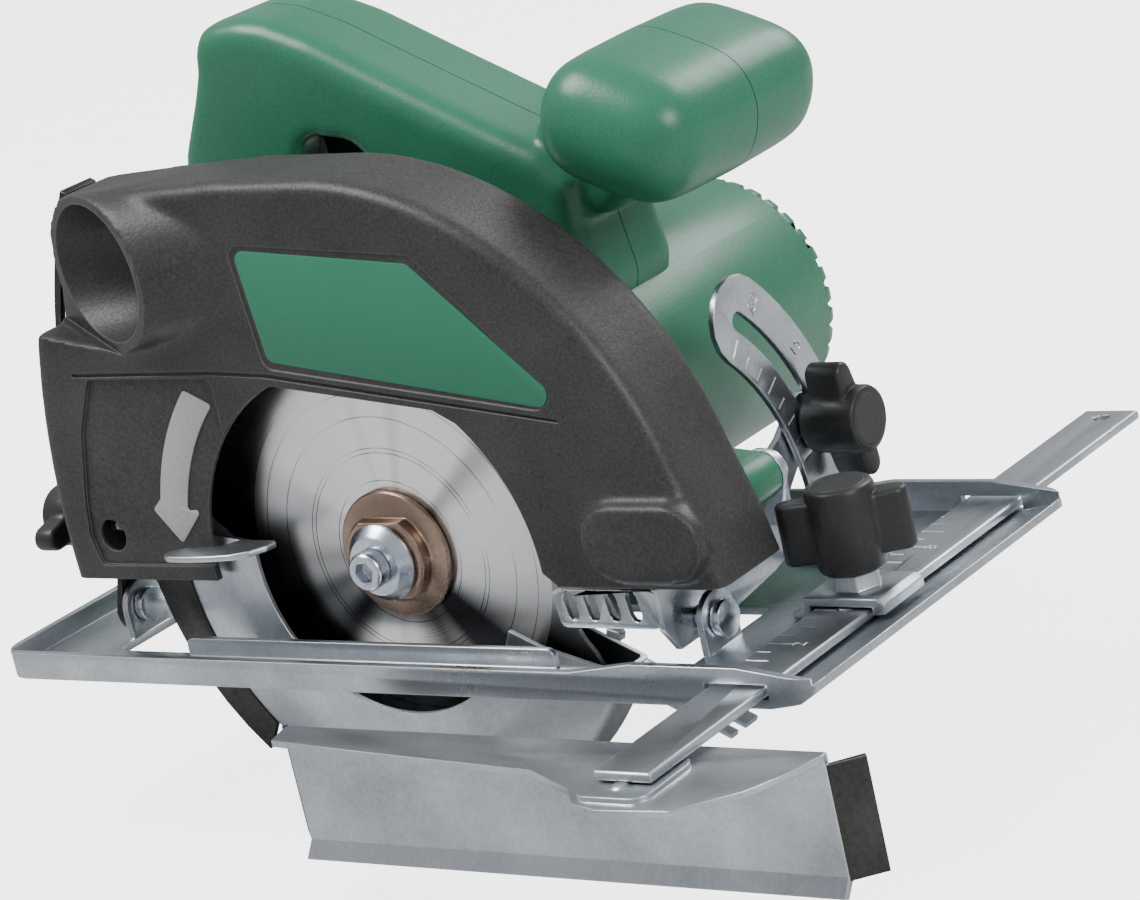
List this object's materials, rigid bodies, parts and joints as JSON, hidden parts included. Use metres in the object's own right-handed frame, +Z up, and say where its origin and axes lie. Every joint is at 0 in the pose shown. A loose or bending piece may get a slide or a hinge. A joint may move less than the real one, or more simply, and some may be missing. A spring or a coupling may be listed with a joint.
{
  "type": "circular saw",
  "caption": "Hand-held circular saw for a 130 mm blade: pressed sole, bevel and depth joints, swinging lower guard, geared motor, loop grip, front knob and edge guide.",
  "frame": {"origin": "on the flat underside of the sole, on the strip beside the blade, level with the blade's axis along X", "axes": "+X is the direction of cut, +Y points from the blade to the motor, +Z is up; the sole's underside is z = 0"},
  "size_m": [0.2736, 0.2375, 0.1941],
  "materials": {
    "green_plastic": "fine-grained satin moulding",
    "black_plastic": "glass-filled, fine texture",
    "zinc_plate": "bright zinc plate on pressed sheet",
    "bright_steel": "bright machined",
    "dark_steel": "blackened",
    "bronze": "bronze-coloured plating",
    "copper": "copper",
    "lamination": "laminated iron or raw casting",
    "carbon": "pressed carbon",
    "green_label": "smooth printed plate",
    "grey_paint": "grey painted inlay",
    "rubber": "moulded"
  },
  "bodies": {
    "base": {"base_plate": "zinc_plate", "front_bevel_bolt": "zinc_plate", "rear_bevel_bolt": "zinc_plate", "bevel_quadrant": "zinc_plate", "quadrant_rivet": "zinc_plate", "guide_clamp_bridge": "zinc_plate"},
    "guide": {"guide_arm": "zinc_plate", "guide_fence": "zinc_plate"},
    "guide_screw": {"guide_wing_screw": "black_plastic"},
    "tilt_frame": {"tilt_bracket": "zinc_plate", "depth_strap": "zinc_plate", "depth_pivot_pin": "bright_steel"},
    "bevel_screw": {"bevel_wing_screw": "black_plastic"},
    "head": {"upper_guard": "black_plastic", "guard_label": "green_label", "direction_arrow": "grey_paint", "riving_knife": "dark_steel", "knife_bolt": "bright_steel", "depth_bolt": "bright_steel", "gear_housing": "green_plastic", "bearing_plate": "lamination", "guard_screw_1": "bright_steel", "guard_screw_2": "bright_steel", "guard_screw_3": "bright_steel", "guard_retaining_ring": "bright_steel", "guard_return_spring": "bright_steel", "spindle_front_bearing": "bright_steel", "spindle_rear_bearing": "bright_steel", "armature_front_bearing": "bright_steel", "armature_rear_bearing": "bright_steel", "stator": "lamination", "carbon_brush_left": "carbon", "carbon_brush_right": "carbon", "brush_holder_left": "copper", "brush_holder_right": "copper", "grip_shell": "green_plastic", "motor_housing": "green_plastic", "motor_end_cap": "green_plastic", "grip_screw_1": "bright_steel", "grip_screw_2": "bright_steel", "grip_screw_3": "bright_steel", "trigger_pin": "bright_steel", "switch_block": "black_plastic", "cable_inlet": "rubber"},
    "depth_nut": {"depth_wing_nut": "black_plastic"},
    "spindle_body": {"spindle": "bright_steel", "drive_gear": "bright_steel", "inner_flange": "bright_steel", "saw_blade": "bright_steel", "outer_flange": "bronze", "blade_washer": "zinc_plate", "blade_bolt": "zinc_plate"},
    "armature_body": {"armature_shaft": "bright_steel", "pinion": "bright_steel", "armature_core": "lamination", "commutator": "copper", "cooling_fan": "black_plastic"},
    "lower_guard_body": {"lower_guard": "zinc_plate"},
    "trigger_body": {"trigger": "black_plastic"},
    "button_body": {"lock_off_button": "black_plastic"}
  },
  "joints": [
    {"name": "bevel_tilt", "type": "hinge", "parent": "base", "child": "tilt_frame", "pos_m": [0, 0.021, 0.009], "axis": [1, 0, 0], "range_deg": [0, 30]},
    {"name": "depth_pivot", "type": "hinge", "parent": "tilt_frame", "child": "head", "pos_m": [0.088, 0.044, 0.033], "axis": [0, 1, 0], "range_deg": [0, 25]},
    {"name": "blade_spin", "type": "hinge", "parent": "head", "child": "spindle_body", "pos_m": [0, 0.02, 0.025], "axis": [0, 1, 0], "continuous": true},
    {"name": "armature_spin", "type": "hinge", "parent": "head", "child": "armature_body", "pos_m": [0.018, 0.08, 0.0465], "axis": [0, 1, 0], "continuous": true},
    {"name": "lower_guard_swing", "type": "hinge", "parent": "head", "child": "lower_guard_body", "pos_m": [0, 0.02, 0.025], "axis": [0, 1, 0], "range_deg": [0, 130], "stiffness_Nm_per_rad": 0.08, "springref_deg": -51.57},
    {"name": "trigger_pull", "type": "hinge", "parent": "head", "child": "trigger_body", "pos_m": [-0.038, 0.08, 0.119], "axis": [0, 1, 0], "range_deg": [0, 10], "stiffness_Nm_per_rad": 0.5, "springref_deg": -2.86},
    {"name": "lock_off_push", "type": "slide", "parent": "head", "child": "button_body", "axis": [0, -1, 0], "range_m": [0, 0.003], "stiffness_N_per_m": 200, "springref_m": -0.001},
    {"name": "guide_slide", "type": "slide", "parent": "base", "child": "guide", "axis": [0, 1, 0], "range_m": [-0.1, 0.02]},
    {"name": "guide_screw_turn", "type": "hinge", "parent": "base", "child": "guide_screw", "pos_m": [0.1125, 0.0455, 0.02], "axis": [0, 0, 1], "range_deg": [-180, 180]},
    {"name": "bevel_screw_turn", "type": "hinge", "parent": "tilt_frame", "child": "bevel_screw", "pos_m": [0.086, 0.09089, 0.03238], "axis": [1, 0, 0], "range_deg": [-180, 180]},
    {"name": "depth_nut_turn", "type": "hinge", "parent": "head", "child": "depth_nut", "pos_m": [-0.112, 0.0255, 0.032], "axis": [1, 0, 0], "range_deg": [-180, 180]}
  ],
  "couplings": [
    {"joint": "armature_spin", "follows": "blade_spin", "ratio": -3}
  ]
}
